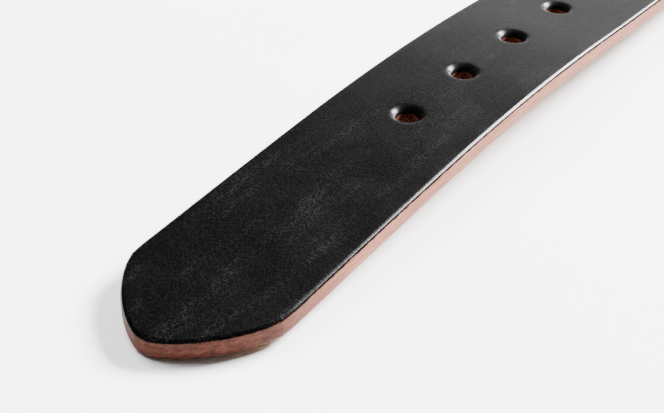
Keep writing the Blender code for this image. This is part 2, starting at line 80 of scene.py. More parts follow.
SKIVE_FULL = 8.0 * MM
SKIVE_START = 20.0 * MM
HALF_WIDTH = STRAP_WIDTH / 2
FOLD_RADIUS = BAR_RADIUS + TOUCH_GAP + SKIVED_THICKNESS
FOLD_AT = FIRST_HOLE + (HOLE_COUNT // 2) * HOLE_PITCH + WAIST_LENGTH
FOLD_START = FOLD_AT - FOLD_RADIUS * QUARTER
EDGE_HEIGHT = math.hypot(HALF_WIDTH, STRAP_THICKNESS)
PLY_UNDERSIDE = KEEPER_THICKNESS + KEEPER_FLOOR_GAP
GRAIN_HEIGHT = PLY_UNDERSIDE + SKIVED_THICKNESS + TOUCH_GAP + STRAP_THICKNESS
BAR_HEIGHT = GRAIN_HEIGHT - FOLD_RADIUS

# ---------------------------------------------------------------- the strap's drawn detail

TOP_ROUND = 1.2 * MM  # how far in from the cut edge the grain face starts to turn over
POINT_SOFTNESS = 2.6 * MM  # how far across the strap the point's corner is rounded
CORNER_CUT = 0.25 * MM  # how much is taken off the two corners where the point's arcs start
CORNER_REACH = 2.2 * MM
CORNER_FALL = 7  # a high power keeps the cut to the outermost columns

HOLE_BLOCK = 8.0 * MM  # half the side of the square of grid that each hole is fitted in
SLOT_BLOCK = HOLE_BLOCK * 4 / 6
SLOT_BLOCK_REACH = SLOT_LENGTH / 2 + 2.6 * MM
TIP_ROWS_END = 26.0 * MM  # the rows follow the point's outline up to here
MIDDLE_ROWS_END = 300.0 * MM

# Spacing of the grid's columns beside the holes, and of its rows in each stretch of the strap.
SIDE_COLUMN = 1.45 * MM
FINE_ROW = 1.34 * MM
MIDDLE_ROW = 1.6 * MM
COARSE_ROW = 2.6 * MM
FOLD_ROW = 0.55 * MM
ROUNDING = 1e-6  # keeps a spacing that fits exactly from being split once more

# The punch's mark round a hole, in mm: how far out from the bore it ends, and how fast it fades.
PRESSED_REACH = 2.1
PRESSED_FADE = 1.1

# The cut edge from grain to flesh, as (distance in from the widest line, depth) in mm at full
# thickness: a rolled black shoulder, a slightly hollow burnished side and a small lower round.
EDGE_PROFILE = (
    (1.2, 0.0),
    (0.9, 0.03),
    (0.62, 0.11),
    (0.38, 0.25),
    (0.19, 0.44),
    (0.07, 0.68),
    (0.02, 1.0),
    (0.06, 1.5),
    (0.08, 2.1),
    (0.05, 2.7),
    (0.03, 3.4),
    (0.1, 3.9),
    (0.25, 4.35),
    (0.48, 4.65),
    (0.8, 4.8),
)
# A punched hole from grain to flesh, as (distance out from the bore, depth) in mm: the punch has
# pressed the grain down into a shallow dish with a soft lip.
HOLE_PROFILE = (
    (3.2, 0.0),
    (2.5, 0.0),
    (1.95, 0.02),
    (1.6, 0.08),
    (1.25, 0.21),
    (0.9, 0.41),
    (0.55, 0.69),
    (0.22, 1.04),
    (0.0, 1.5),
    (0.0, 2.2),
    (0.0, 3.0),
    (0.0, 3.8),
    (0.06, 4.45),
    (0.22, 4.75),
    (0.5, 4.8),
    (1.4, 4.8),
    (3.0, 4.8),
)
# The prong's slot, in the same form as a hole.
SLOT_PROFILE = (
    (1.2, 0.0),
    (0.7, 0.0),
    (0.35, 0.1),
    (0.1, 0.4),
    (0.0, 0.9),
    (0.0, 2.4),
    (0.0, 3.9),
    (0.1, 4.4),
    (0.35, 4.75),
    (0.7, 4.8),
    (1.2, 4.8),
)

# The keeper's cut edge from outer to inner face, as (distance in from the side, depth) in mm.
KEEPER_PROFILE = (
    (0.75, 0.0),
    (0.45, 0.04),
    (0.2, 0.16),
    (0.06, 0.36),
    (0.0, 0.65),
    (0.03, 1.2),
    (0.0, 1.75),
    (0.06, 2.04),
    (0.2, 2.24),
    (0.45, 2.36),
    (0.75, 2.4),
)
# The groove that each stitch lies in, as (distance from its middle, depth) in mm.
GROOVE_PROFILE = ((-0.62, 0.0), (-0.4, 0.45), (0.0, 0.7), (0.4, 0.45), (0.62, 0.0))
GROOVE_REACH = STITCH_HALF_LENGTH + 0.5 * MM
KEEPER_ROW = 1.5 * MM
SEWN_ROW = 0.7 * MM  # spacing under the stitches
KEEPER_CORNER_STEPS = 8
SHARP_ANGLE = math.radians(50.0)
KEEPER_PATTERN_START = 400.0 * MM  # keeps the keeper's pattern clear of the strap's point

# ---------------------------------------------------------------- route of the strap

STATION_SPACING = 2.5 * MM
TIGHT_STATION_SPACING = 0.4 * MM
TIGHT_BEND = 60.0  # radians per metre
SUBSTEPS = 4  # short moves between two stations, which keep the route accurate


def share_turned(along, ease):
    """How much of a stretch's turn is done at a share of its length, with eased ends."""
    if ease == 0.0:
        return along
    if along > 0.5:
        return 1.0 - share_turned(1.0 - along, ease)
    full_rate = 1.0 / (1.0 - ease)
    if along < ease:
        return full_rate * along * along / (2.0 * ease)
    return full_rate * (along - ease / 2.0)


def return_angle():
    """How far past half a turn the fold goes before the under ply levels out."""
    rise = PLY_UNDERSIDE - (BAR_HEIGHT - FOLD_RADIUS)
    return math.acos(1.0 - rise / (FOLD_RADIUS + RETURN_ARC_RADIUS))


def route_stretches():
    """Every stretch of the strap as (length, bend, twist, ease), with angles in radians."""
    wide_bend = WIDE_BEND_RADIUS * math.pi + WIDE_BEND_RAMP
    drop = (EDGE_HEIGHT - GRAIN_HEIGHT) / DROP_LENGTH
    back = return_angle()
    stretches = [(length, math.radians(bend), 0.0, 0.0) for length, bend in TIP_LEG]
    stretches += [
        (QUARTER_TWIST_LENGTH, 0.0, QUARTER, 0.5),
        (wide_bend, math.pi, 0.0, WIDE_BEND_RAMP / wide_bend),
        (QUARTER_TWIST_LENGTH, 0.0, -QUARTER, 0.5),
        (DROP_LENGTH, drop, 0.0, 0.0),
        (DROP_LENGTH, -drop, 0.0, 0.0),
    ]
    straight = FOLD_START - sum(stretch[0] for stretch in stretches)
    fold = math.pi + back
    stretches += [
        (straight, 0.0, 0.0, 0.0),
        (FOLD_RADIUS * fold, fold, 0.0, 0.0),
        (RETURN_ARC_RADIUS * back, -back, 0.0, 0.0),
    ]
    under_ply = FOLD_BACK_LENGTH - (FOLD_RADIUS + RETURN_ARC_RADIUS) * math.sin(back)
    stretches.append((under_ply, 0.0, 0.0, 0.0))
    return stretches


def route():
    """Stations (distance, point, forward, left, up) along the middle of the grain face."""
    start_pitch = math.radians(sum(bend for _, bend in TIP_LEG))
    forward = Vector((math.cos(start_pitch), 0.0, math.sin(start_pitch)))
    left = Vector((0.0, 1.0, 0.0))
    point = Vector((0.0, 0.0, 0.0))
    distance = 0.0
    stations = [(distance, point.copy(), forward.copy(), left.copy(), forward.cross(left))]
    for length, bend, twist, ease in route_stretches():
        first_forward = forward.copy()
        first_left = left.copy()
        tight = max(abs(bend), abs(twist)) / length > TIGHT_BEND
        spacing = TIGHT_STATION_SPACING if tight else STATION_SPACING
        moves = math.ceil(length / spacing) * SUBSTEPS
        for move in range(moves):
            middle = share_turned((move + 0.5) / moves, ease)
            heading = Matrix.Rotation(bend * middle, 3, first_left) @ first_forward
            point = point + heading * (length / moves)
            if (move + 1) % SUBSTEPS:
                continue
            done = share_turned((move + 1) / moves, ease)
            forward = Matrix.Rotation(bend * done, 3, first_left) @ first_forward
            left = Matrix.Rotation(-twist * done, 3, first_forward) @ first_left
            here = distance + length * (move + 1) / moves
            stations.append((here, point.copy(), forward.copy(), left.copy(), forward.cross(left)))
        distance += length
    return stations


def station_at(stations, distance):
    """The station at any distance, between its two neighbours."""
    low = 0
    high = len(stations) - 1
    while high - low > 1:
        middle = (low + high) // 2
        if stations[middle][0] <= distance:
            low = middle
        else:
            high = middle
    before = stations[low]
    after = stations[high]
    share = (distance - before[0]) / (after[0] - before[0])
    return [before[i].lerp(after[i], share) for i in range(1, 5)]


def thickness_at(distance):
    """The strap is skived thin on its flesh side from just before the fold to its end."""
    before_bar = FOLD_START - distance
    share = (before_bar - SKIVE_FULL) / (SKIVE_START - SKIVE_FULL)
    share = min(1.0, max(0.0, share))
    return SKIVED_THICKNESS + (STRAP_THICKNESS - SKIVED_THICKNESS) * share


# ---------------------------------------------------------------- strap mesh


def tip_edge(across, inset):
    """Distance along the strap of the point's outline at a place across the strap."""
    chord = math.hypot(TIP_LENGTH, HALF_WIDTH)
    rise = math.sqrt(TIP_ARC_RADIUS**2 - chord**2 / 4)
    centre_x = TIP_LENGTH / 2 + rise * HALF_WIDTH / chord
    centre_y = HALF_WIDTH / 2 - rise * TIP_LENGTH / chord
    side = abs(across)
    near_middle = 1.0 - side / HALF_WIDTH
    soft = math.hypot(side, POINT_SOFTNESS * near_middle)
    radius = TIP_ARC_RADIUS - inset
    return centre_x - math.sqrt(radius**2 - (soft - centre_y) ** 2)


def spread(start, end, spacing):
    """Even places from start to end, without start, at most spacing apart."""
    count = max(1, math.ceil((end - start) / spacing - ROUNDING))
    return [start + (end - start) * (i + 1) / count for i in range(count)]


def columns():
    """Places across the grain face, with lines at the edges of the hole blocks."""
    inner = HALF_WIDTH - TOP_ROUND
    outer_left = [-inner] + spread(-inner, -HOLE_BLOCK, SIDE_COLUMN)
    middle = spread(-HOLE_BLOCK, HOLE_BLOCK, HOLE_BLOCK / 6)
    outer_right = spread(HOLE_BLOCK, inner, SIDE_COLUMN)
    return outer_left + middle + outer_right


def rows(strap_end):
    """Places along the strap, with lines at the edges of the hole and slot blocks."""
    places = [TIP_ROWS_END]
    for index in range(HOLE_COUNT):
        centre = FIRST_HOLE + index * HOLE_PITCH
        places += spread(places[-1], centre - HOLE_BLOCK, FINE_ROW)
        places += spread(centre - HOLE_BLOCK, centre + HOLE_BLOCK, FINE_ROW)
    places += spread(places[-1], MIDDLE_ROWS_END, MIDDLE_ROW)
    places += spread(places[-1], FOLD_AT - SLOT_BLOCK_REACH, COARSE_ROW)
    places += spread(places[-1], FOLD_AT + SLOT_BLOCK_REACH, FOLD_ROW)
    places += spread(places[-1], strap_end, COARSE_ROW)
    return places


class Opening:
    """A belt hole or the prong slot, and the block of the strap's grid that it is fitted in."""

    def __init__(self, strap, centre, reach, side, half_spine, radius, profile):
        self.low_row = strap.row_near(centre - reach)
        self.high_row = strap.row_near(centre + reach)
        self.low_column = strap.column_near(-side)
        self.high_column = strap.column_near(side)
        self.centre = centre
        self.half_spine = half_spine
        self.radius = radius
        self.profile = profile

    def holds_point(self, row, column):
        """Whether a point of the grid lies inside the block."""
        in_rows = self.low_row < row < self.high_row
        return in_rows and self.low_column < column < self.high_column

    def holds_face(self, row, column):
        """Whether the face that starts at a point of the grid lies inside the block."""
        in_rows = self.low_row <= row < self.high_row
        return in_rows and self.low_column <= column < self.high_column

    def border(self):
        """The grid points round the block, in order."""
        low_row, high_row = self.low_row, self.high_row
        low_column, high_column = self.low_column, self.high_column
        cells = [(low_row, column) for column in range(low_column, high_column + 1)]
        cells += [(row, high_column) for row in range(low_row + 1, high_row + 1)]
        cells += [(high_row, column) for column in range(high_column - 1, low_column - 1, -1)]
        cells += [(row, low_column) for row in range(high_row - 1, low_row, -1)]
        return cells

    def ray(self, along, across):
        """Nearest place on the opening's spine, and the direction from there to a point."""
        spine = min(self.centre + self.half_spine, max(self.centre - self.half_spine, along))
        length = math.hypot(along - spine, across)
        return spine, (along - spine) / length, across / length


class FlatStrap:
    """The strap as a closed skin in flat coordinates: along, across and depth."""

    TIP_RINGS = 18

    def __init__(self, strap_end):
        self.points = []
        self.pressed = {}
        self.faces = []
        self.across = columns()
        self.along = rows(strap_end)

    def add(self, along, across, depth):
        """Adds a point and returns its number."""
        self.points.append((along, across, depth))
        return len(self.points) - 1

    def place(self, row, column, inset):
        """Flat place of a grid point when the outline is drawn in by an inset."""
        share = self.across[column] / self.across[-1]
        across = share * (HALF_WIDTH - inset)
        tip = tip_edge(across, inset)
        if row <= self.TIP_RINGS:
            done = row / self.TIP_RINGS
            along = tip + (TIP_ROWS_END - tip) * done
            near_corner = math.exp(-(((along - TIP_LENGTH) / CORNER_REACH) ** 2))
            return along, across - CORNER_CUT * near_corner * share**CORNER_FALL
        along = self.along[row - self.TIP_RINGS]
        if row == self.TIP_RINGS + len(self.along) - 1:
            along -= inset
        return along, across

    def row_count(self):
        """How many rows the grid has."""
        return self.TIP_RINGS + len(self.along)

    def row_near(self, along):
        """The row that runs at a distance along the strap."""
        nearest = min(range(len(self.along)), key=lambda i: abs(self.along[i] - along))
        return nearest + self.TIP_RINGS

    def column_near(self, across):
        """The column that runs at a place across the strap."""
        return min(range(len(self.across)), key=lambda i: abs(self.across[i] - across))

    def openings(self):
        """The belt holes and the prong slot."""
        found = []
        for index in range(HOLE_COUNT):
            centre = FIRST_HOLE + index * HOLE_PITCH
            shape = (0.0, HOLE_RADIUS, HOLE_PROFILE)
            found.append(Opening(self, centre, HOLE_BLOCK, HOLE_BLOCK, *shape))
        shape = ((SLOT_LENGTH - SLOT_WIDTH) / 2, SLOT_WIDTH / 2, SLOT_PROFILE)
        found.append(Opening(self, FOLD_AT, SLOT_BLOCK_REACH, SLOT_BLOCK, *shape))
        return found

    def sheet(self, inset, depth, flip, openings):
        """One face of the strap, left open at the openings. Returns its grid of points."""
        count = len(self.across)
        grid = {}
        for row in range(self.row_count()):
            for column in range(count):
                if any(opening.holds_point(row, column) for opening in openings):
                    continue
                grid[row, column] = self.add(*self.place(row, column, inset), depth)
        for row in range(self.row_count() - 1):
            for column in range(count - 1):
                if any(opening.holds_face(row, column) for opening in openings):
                    continue
                face = [
                    grid[row, column],
                    grid[row + 1, column],
                    grid[row + 1, column + 1],
                    grid[row, column + 1],
                ]
                self.faces.append(face[::-1] if flip else face)
        return grid

    def rim_cells(self):
        """Grid points round the whole outline, in order."""
        last_row = self.row_count() - 1
        last_column = len(self.across) - 1
        cells = [(0, column) for column in range(last_column + 1)]
        cells += [(row, last_column) for row in range(1, last_row + 1)]
        cells += [(last_row, column) for column in range(last_column - 1, -1, -1)]
        cells += [(row, 0) for row in range(last_row - 1, 0, -1)]
        return cells

    def join(self, ring, next_ring, flip=False):
        """Joins two rings of points with a band of faces."""
        count = len(ring)
        for i in range(count):
            j = (i + 1) % count
            face = [ring[i], ring[j], next_ring[j], next_ring[i]]
            self.faces.append(face[::-1] if flip else face)

    def fit_opening(self, opening, top, bottom):
        """Fills the block of both faces round an opening, and lines the opening."""
        cells = opening.border()
        rays = [opening.ray(*self.points[top[cell]][:2]) for cell in cells]
        ring = [top[cell] for cell in cells]
        for outward, depth in opening.profile:
            reach = opening.radius + outward * MM
            next_ring = [self.add(s + x * reach, y * reach, depth * MM) for s, x, y in rays]
            for corner in next_ring:
                marked = (PRESSED_REACH - outward) / PRESSED_FADE
                self.pressed[corner] = min(1.0, max(0.0, marked))
            self.join(ring, next_ring, flip=True)
            ring = next_ring
        self.join(ring, [bottom[cell] for cell in cells], flip=True)

    def build(self):
        """Both faces, the cut edge all round and every opening."""
        openings = self.openings()
        top = self.sheet(TOP_ROUND, 0.0, False, openings)
        last_inset = EDGE_PROFILE[-1][0] * MM
        bottom = self.sheet(last_inset, STRAP_THICKNESS, True, openings)
        cells = self.rim_cells()
        ring = [top[cell] for cell in cells]
        for inset, depth in EDGE_PROFILE[1:-1]:
            places = [self.place(row, column, inset * MM) for row, column in cells]
            next_ring = [self.add(*place, depth * MM) for place in places]
            self.join(ring, next_ring)
            ring = next_ring
        self.join(ring, [bottom[cell] for cell in cells])
        for opening in openings:
            self.fit_opening(opening, top, bottom)


def mesh_object(name, points, faces, material):
    """A smooth-shaded mesh object in the scene, with its material."""
    mesh = bpy.data.meshes.new(name)
    mesh.from_pydata(points, [], faces)
    mesh.update()
    mesh.shade_smooth()
    mesh.materials.append(material)
    obj = bpy.data.objects.new(name, mesh)
    bpy.context.scene.collection.objects.link(obj)
    return obj


def keep_flat_places(mesh, values):
    """Stores each vertex's place in the flat leather, where the leather's pattern is read."""
    attribute = mesh.attributes.new("flat", "FLOAT_VECTOR", "POINT")
    for item, value in zip(attribute.data, values):
        item.vector = value


def face_outwards(mesh):
    """Turns every face of a closed mesh to the outside."""
    bm = bmesh.new()
    bm.from_mesh(mesh)
    bmesh.ops.recalc_face_normals(bm, faces=bm.faces)
    bm.to_mesh(mesh)
    bm.free()


def make_strap(stations, tip, material):
    """The drawn strap, with its flat place kept on every vertex for the leather's pattern."""
    strap_end = stations[-1][0]
    flat = FlatStrap(strap_end)
    flat.build()
    points = []
    flat_places = []
    for along, across, depth in flat.points:
        point, _, left, up = station_at(stations, min(along, strap_end))
        thinned = depth / STRAP_THICKNESS * thickness_at(along)
        points.append(tip + point + left * across - up * thinned)
        flat_places.append((along, across, depth))
    obj = mesh_object("belt_strap", points, flat.faces, material)
    face_outwards(obj.data)
    keep_flat_places(obj.data, flat_places)
    pressed = obj.data.attributes.new("pressed", "FLOAT", "POINT")
    for corner, share in flat.pressed.items():
        pressed.data[corner].value = share
    return obj


# ---------------------------------------------------------------- keeper


def keeper_path():
    """The loop's inner line as (y, z, outward y, outward z), from one sewn end to the other."""
    half = HALF_WIDTH + KEEPER_SIDE_CLEARANCE
    low = KEEPER_THICKNESS
    high = GRAIN_HEIGHT + KEEPER_SPARE_HEIGHT
    radius = KEEPER_CORNER_RADIUS
    start = TOUCH_GAP / 2
    sewn = [start] + spread(start, GROOVE_REACH, SEWN_ROW)
    sewn += spread(GROOVE_REACH, half - radius, KEEPER_ROW)[:-1]
    path = [(y, low, 0.0, -1.0) for y in sewn]
    corners = (
        (half - radius, low + radius, -QUARTER),
        (half - radius, high - radius, 0.0),
        (radius - half, high - radius, QUARTER),
        (radius - half, low + radius, 2 * QUARTER),
    )
    for number, (y, z, first) in enumerate(corners):
        for step in range(KEEPER_CORNER_STEPS + 1):
            angle = first + QUARTER * step / KEEPER_CORNER_STEPS
            out_y = math.cos(angle)
            out_z = math.sin(angle)
            path.append((y + radius * out_y, z + radius * out_z, out_y, out_z))
        if number == 1:
            top = spread(radius - half, half - radius, KEEPER_ROW)[:-1]
            path += [(y, high, 0.0, 1.0) for y in reversed(top)]
    return path + [(-y, low, 0.0, -1.0) for y in reversed(sewn)]


def keeper_section():
    """Places round the loop's section as (x, depth from the outer face, groove depth)."""
    half = KEEPER_WIDTH / 2
    side = [(half - inset * MM, depth * MM, 0.0) for inset, depth in KEEPER_PROFILE]
    face = []
    for middle in (-STITCH_SPACING, 0.0, STITCH_SPACING):
        face += [(middle + x * MM, groove * MM) for x, groove in GROOVE_PROFILE]
    outer = [(x, 0.0, groove) for x, groove in face]
    inner = [(x, KEEPER_THICKNESS, -groove) for x, groove in reversed(face)]
    mirrored = [(-x, depth, 0.0) for x, depth, _ in reversed(side)]
    return outer + side + inner + mirrored


def make_keeper(place, material):
    """The loop, bent round the strap, with rounded cut edges and grooves for its stitches."""
    points = []
    flat_places = []
    faces = []
    path = keeper_path()
    section = keeper_section()
    travelled = KEEPER_PATTERN_START
    for index, (y, z, out_y, out_z) in enumerate(path):
        if index:
            travelled += math.hypot(y - path[index - 1][0], z - path[index - 1][1])
        stitched = z == KEEPER_THICKNESS and abs(y) < GROOVE_REACH - SEWN_ROW / 2
        for x, depth, groove in section:
            depth += groove if stitched else 0.0
            out = KEEPER_THICKNESS - depth
            points.append(place + Vector((x, y + out_y * out, z + out_z * out)))
            flat_places.append((travelled, x, depth / KEEPER_THICKNESS * STRAP_THICKNESS))
    count = len(section)
    for row in range(len(path) - 1):
        for i in range(count):
            j = (i + 1) % count
            first = row * count
            faces.append([first + i, first + j, first + count + j, first + count + i])
    faces.append(list(range(count)))
    faces.append(list(range((len(path) - 1) * count, len(path) * count)))
    obj = mesh_object("keeper", points, faces, material)
    face_outwards(obj.data)
    obj.data.set_sharp_from_angle(angle=SHARP_ANGLE)
    keep_flat_places(obj.data, flat_places)
    return obj


# ---------------------------------------------------------------- materials

# Which socket of a node is meant, where its name alone doesn't say.
OBJECT_PLACE = 3
ATTRIBUTE_VECTOR = 1
ATTRIBUTE_VALUE = 2
MIX_VALUES = (2, 3)
MIX_COLORS = (6, 7)
MIX_COLOR_RESULT = 2


def rgb(red, green, blue):
    """A linear colour with full opacity, as the shader's sockets take it."""
    return (red, green, blue, 1.0)


# Each pair runs from the darker to the paler tone of one surface.
GRAIN_TONES = (rgb(0.0001, 0.0001, 0.0001), rgb(0.0004, 0.0004, 0.0004))
# Painted glint: the pale speckle on the grain stands for light caught on the pebble's cells.
PAINTED_GLINT_TONE = rgb(0.0072, 0.007, 0.0068)
EDGE_TONES = (rgb(0.175, 0.056, 0.034), rgb(0.29, 0.118, 0.076))
# Painted shade: darker russet for the cut edge by the point, which faces away from the key light.
POINT_SHADE_TONES = (rgb(0.036, 0.01, 0.006), rgb(0.12, 0.039, 0.024))
BORE_TONES = (rgb(0.014, 0.004, 0.0025), rgb(0.15, 0.045, 0.024))
# Painted shade along the cut edge's lower corner, where it turns under towards the table.
LOWER_EDGE_SHADE_TONE = rgb(0.12, 0.05, 0.032)
FLESH_TONES = (rgb(0.22, 0.115, 0.068), rgb(0.42, 0.255, 0.165))
THREAD_TONES = (rgb(0.012, 0.011, 0.01), rgb(0.05, 0.045, 0.04))
TABLE_TONES = (rgb(0.86, 0.86, 0.865), rgb(0.88, 0.88, 0.88))
NICKEL_TONE = (0.78, 0.76, 0.72)
STEEL_TONE = (0.6, 0.6, 0.6)

# How deep the black dye runs down the cut edge before the russet shows.
DYE_DEPTH = 0.3 * MM
DYE_WANDER = 0.7 * MM
DYE_DEPTH_IN_BORE = 0.9 * MM
DYE_FADE = (-0.12 * MM, 0.16 * MM)
FLESH_START = (4.55 * MM, 4.78 * MM)
LOWER_EDGE = (4.0 * MM, 4.6 * MM)
POINT_SHADE_END = (14.0 * MM, 50.0 * MM)  # painted shade: the cut edge is painted darkest near the point, whose front faces away from the key light


class Nodes:
    """A short way to lay out a procedural material."""

    def __init__(self, name, roughness=0.5, metallic=0.0, specular=0.5):
        self.material = bpy.data.materials.new(name)
        self.material.use_nodes = True
        self.tree = self.material.node_tree
        self.shader = self.tree.nodes["Principled BSDF"]
        self.shader.inputs["Roughness"].default_value = roughness
        self.shader.inputs["Metallic"].default_value = metallic
        self.shader.inputs["Specular IOR Level"].default_value = specular

    def link(self, source, target):
        """Links a node's output to a socket, or sets the socket to a plain value."""
        if hasattr(source, "is_output"):
            self.tree.links.new(source, target)
        else:
            target.default_value = source

    def node(self, kind, output=0, inputs=(), **settings):
        """Adds a node with its settings and inputs, and returns one of its outputs."""
        made = self.tree.nodes.new(kind)
        for key, value in settings.items():
            setattr(made, key, value)
        for key, value in dict(inputs).items():
            self.link(value, made.inputs[key])
        return made.outputs[output]

    def math(self, operation, *values, clamp=False):
        """Plain arithmetic on values or outputs."""
        inputs = dict(enumerate(values))
        return self.node("ShaderNodeMath", inputs=inputs, operation=operation, use_clamp=clamp)

    def total(self, *weighted):
        """The sum of (value, weight) pairs."""
        value, weight = weighted[0]
        result = self.math("MULTIPLY", value, weight)
        for value, weight in weighted[1:]:
            result = self.math("MULTIPLY_ADD", value, weight, result)
        return result

    def ramp(self, value, low, high, start=0.0, end=1.0):
        """Value between low and high carried smoothly to start and end."""
        inputs = {0: value, 1: low, 2: high, 3: start, 4: end}
        kind = "ShaderNodeMapRange"
        return self.node(kind, inputs=inputs, interpolation_type="SMOOTHSTEP")

    def noise(self, vector, scale, detail=2.0, roughness=0.5):
        """Even noise, with its scale in features per metre."""
        inputs = {"Vector": vector, "Scale": scale, "Detail": detail, "Roughness": roughness}
        return self.node("ShaderNodeTexNoise", inputs=inputs)

    def stretched_noise(self, vector, scales, detail, roughness):
        """Noise with its own scale along each axis."""
        inputs = {0: vector, 1: scales}
        place = self.node("ShaderNodeVectorMath", inputs=inputs, operation="MULTIPLY")
        return self.noise(place, 1.0, detail, roughness)

    def cells(self, vector, scale, smooth=0.35):
        """Rounded cells, like the pores of leather."""
        inputs = {"Vector": vector, "Scale": scale, "Smoothness": smooth}
        return self.node("ShaderNodeTexVoronoi", inputs=inputs, feature="SMOOTH_F1")

    def blend(self, share, start, end):
        """A plain value carried from start to end."""
        inputs = {"Factor": share, MIX_VALUES[0]: start, MIX_VALUES[1]: end}
        return self.node("ShaderNodeMix", inputs=inputs)

    def mix(self, share, start, end):
        """A colour carried from start to end."""
        inputs = {"Factor": share, MIX_COLORS[0]: start, MIX_COLORS[1]: end}
        return self.node("ShaderNodeMix", MIX_COLOR_RESULT, inputs, data_type="RGBA")

    def attribute(self, name, output):
        """A value stored on the mesh."""
        return self.node("ShaderNodeAttribute", output, attribute_name=name)

    def object_place(self):
        """The place on the object in its own coordinates."""
        return self.node("ShaderNodeTexCoord", OBJECT_PLACE)

    def finish(self, color, roughness, height, distance, strength=1.0):
        """Links colour, roughness and bump to the shader, and returns the material."""
        self.link(color, self.shader.inputs["Base Color"])
        self.link(roughness, self.shader.inputs["Roughness"])
        inputs = {"Strength": strength, "Distance": distance, "Height": height}
        bump = self.node("ShaderNodeBump", inputs=inputs)
        self.link(bump, self.shader.inputs["Normal"])
        return self.material


class Leather(Nodes):
    """Black dyed grain, burnished russet cut edge and fibrous russet flesh side.

    The pattern runs in the piece's flat coordinates: along, across and depth from the grain.
    """

    def __init__(self, name):
        super().__init__(name, specular=0.1)
        flat = self.attribute("flat", ATTRIBUTE_VECTOR)
        self.pressed = self.attribute("pressed", ATTRIBUTE_VALUE)
        self.along = self.node("ShaderNodeSeparateXYZ", "X", {0: flat})
        self.depth = self.node("ShaderNodeSeparateXYZ", "Z", {0: flat})

        self.pores = self.cells(flat, 2500.0)
        self.fine = self.noise(flat, 5200.0, 2.0, 0.6)
        self.broad = self.noise(flat, 65.0, 4.0, 0.55)
        drawn = self.stretched_noise(flat, (26.0, 210.0, 1.0), 3.0, 0.6)
        self.creases = self.ramp(drawn, 0.46, 0.72)
        self.layers = self.stretched_noise(flat, (130.0, 130.0, 2600.0), 4.0, 0.65)
        self.mottle = self.stretched_noise(flat, (420.0, 420.0, 900.0), 5.0, 0.75)
        self.fibres = self.stretched_noise(flat, (700.0, 1500.0, 900.0), 4.0, 0.7)

        wander = self.noise(flat, 420.0, 3.0, 0.6)
        reach = self.math("MULTIPLY_ADD", wander, DYE_WANDER, DYE_DEPTH)
        reach = self.math("MULTIPLY_ADD", self.pressed, DYE_DEPTH_IN_BORE, reach)
        self.cut = self.ramp(self.math("SUBTRACT", self.depth, reach), *DYE_FADE)
        self.flesh = self.ramp(self.depth, *FLESH_START)
        rolled = self.ramp(self.depth, 0.0, 0.15 * MM)
        self.rubbed = self.math("MAXIMUM", rolled, self.pressed)

    def grain_color(self):
        """Near black, with painted glints: pale speckle on the pebble's cells that stands for
        light caught on them, gathered along the creases and in broad patches.
        """
        glint_patches = self.ramp(self.broad, 0.35, 0.65, 0.15, 0.75)
        glint_streaks = self.math("MULTIPLY_ADD", self.creases, glint_patches, 0.25, clamp=True)
        # Painted highlight: pale glints on the pebble's cells, strongest along the creases and in
        # the broad patches.
        painted_glints = self.math("MULTIPLY", self.ramp(self.pores, 0.44, 0.66), glint_streaks)
        return self.mix(painted_glints, self.mix(self.broad, *GRAIN_TONES), PAINTED_GLINT_TONE)

    def edge_color(self):
        """Russet in layers, with painted shade by the point and along its lower corner, and darker
        in the holes.
        """
        mottled = self.ramp(self.mottle, 0.35, 0.7)
        # Painted shade near the point, where the edge's front faces away from the light.
        painted_point_shade = self.ramp(self.along, *POINT_SHADE_END, 1.0, 0.0)
        edge = self.mix(self.ramp(self.layers, 0.3, 0.7), *EDGE_TONES)
        edge = self.mix(painted_point_shade, edge, self.mix(mottled, *POINT_SHADE_TONES))
        edge = self.mix(self.pressed, edge, self.mix(self.mottle, *BORE_TONES))
        # Painted shade on the lowest part of the cut edge.
        painted_lower_shade = self.math("MULTIPLY", self.ramp(self.depth, *LOWER_EDGE), 0.55)
        return self.mix(painted_lower_shade, edge, LOWER_EDGE_SHADE_TONE)

    def color(self):
        """Grain, cut edge and flesh side, each where the depth says."""
        color = self.mix(self.cut, self.grain_color(), self.edge_color())
        return self.mix(self.flesh, color, self.mix(self.fibres, *FLESH_TONES))

    def roughness(self):
        """The rolled shoulder and the holes' rims are rubbed shiny."""
        grain = self.ramp(self.broad, 0.3, 0.7, 0.27, 0.33)
        grain = self.math("MULTIPLY_ADD", self.fine, 0.06, grain)
        rubbed = self.ramp(self.pressed, 0.0, 0.5, 0.2, 0.28)
        edge = self.ramp(self.mottle, 0.35, 0.7, 0.5, 0.66)
        rough = self.blend(self.cut, self.blend(self.rubbed, grain, rubbed), edge)
        return self.blend(self.flesh, rough, 0.85)

    def height(self):
        """Pebbled grain that fades where it is rubbed, a fibrous edge and a hairy flesh side."""
        pebble = self.total((self.pores, 0.75), (self.fine, 0.35), (self.creases, 0.3))
        pebble = self.math("MULTIPLY", pebble, self.ramp(self.rubbed, 0.0, 1.0, 1.0, 0.25))
        fibrous = self.total((self.layers, 0.5), (self.mottle, 0.6))
        hairy = self.math("MULTIPLY", self.fibres, 2.4)
        return self.blend(self.flesh, self.blend(self.cut, pebble, fibrous), hairy)

    def finished(self):
        """The material with all three surfaces."""
        return self.finish(self.color(), self.roughness(), self.height(), 0.07 * MM, 0.52)


